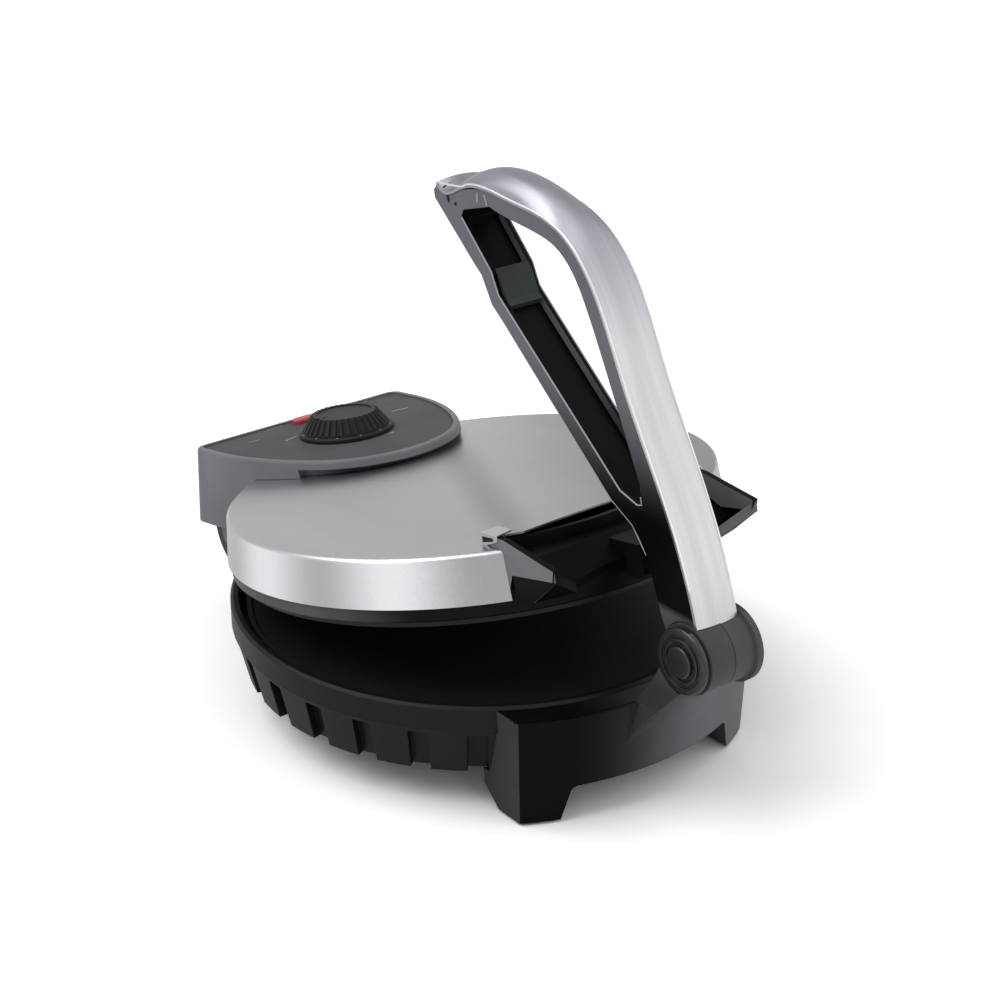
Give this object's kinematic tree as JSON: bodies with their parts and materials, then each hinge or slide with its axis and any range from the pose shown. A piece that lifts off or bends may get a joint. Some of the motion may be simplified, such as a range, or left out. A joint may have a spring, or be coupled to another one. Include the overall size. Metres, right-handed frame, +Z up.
{
  "type": "electric roti maker",
  "caption": "Round tabletop flatbread press with a hinged heated lid, a looped pressing lever at the front and a dial-controlled housing at the back of the lid",
  "frame": {"origin": "On the floor, below the middle of the whole part's bounding box in the pose it rests in", "axes": "+X along the lid hinge, to the right seen from the lever; +Y from the lever towards the hinge; +Z up"},
  "size_m": [0.27, 0.375, 0.298],
  "materials": {
    "black_plastic": "fine satin black moulding",
    "bracket_plastic": "satin dark grey moulding",
    "hood_plastic": "satin graphite moulding",
    "panel_plastic": "satin dark panel",
    "lever_plastic": "satin black moulding",
    "insert_plastic": "grey insert",
    "cap_plastic": "semi-gloss black",
    "dial_plastic": "semi-gloss ribbed dial",
    "red_lens": "translucent red",
    "rubber": "matt rubber",
    "brushed_cover": "fine brushed stainless steel",
    "coated_plate": "black non-stick coating on cast aluminium",
    "sheet_metal": "mill finish",
    "element_steel": "heat-darkened tube",
    "screw_steel": "zinc plated",
    "pin_steel": "turned steel",
    "ceramic": "unglazed ceramic"
  },
  "bodies": {
    "base": {"base_shell": "black_plastic", "base_cover": "black_plastic", "cover_screws": "screw_steel", "front_bracket": "bracket_plastic", "bracket_screws": "screw_steel", "rubber_pads": "rubber", "pivot_pin": "pin_steel", "pivot_cap": "cap_plastic", "hinge_block": "black_plastic", "hinge_block_screws": "screw_steel", "hinge_pins": "pin_steel", "cable_gland": "rubber", "lower_plate": "coated_plate", "lower_element": "element_steel", "lower_clamps": "sheet_metal", "lower_reflector": "sheet_metal"},
    "lid": {"upper_plate": "coated_plate", "upper_element": "element_steel", "upper_clamps": "sheet_metal", "upper_reflector": "sheet_metal", "tray_screws": "screw_steel", "hood_screws": "screw_steel", "lid_cover": "brushed_cover", "lid_frame": "black_plastic", "handle_tray": "black_plastic", "press_pad": "bracket_plastic", "control_hood": "hood_plastic", "control_panel": "panel_plastic", "thermostat": "ceramic", "lamp_lens": "red_lens", "lamp_holder": "black_plastic", "terminal_block": "ceramic", "thermal_fuse": "screw_steel"},
    "dial": {"dial_knob": "dial_plastic", "dial_shaft": "pin_steel"},
    "lever": {"lever_frame": "lever_plastic", "lever_skin": "brushed_cover", "lever_catch": "insert_plastic", "hub_cap": "cap_plastic"}
  },
  "joints": [
    {"name": "lid_hinge", "type": "hinge", "parent": "base", "child": "lid", "pos_m": [0, 0.14849, 0.058], "axis": [-1, 0, 0], "range_deg": [-10.6, 60]},
    {"name": "lever_pivot", "type": "hinge", "parent": "base", "child": "lever", "pos_m": [0, -0.16751, 0.095], "axis": [1, 0, 0], "range_deg": [-15.9, 90]},
    {"name": "dial_turn", "type": "hinge", "parent": "lid", "child": "dial", "pos_m": [0, 0.13502, 0.10834], "axis": [0, 0.184, 0.9829], "range_deg": [0, 240]}
  ],
  "couplings": [
    {"joint": "lever_pivot", "follows": "lid_hinge", "ratio": 1.5}
  ]
}
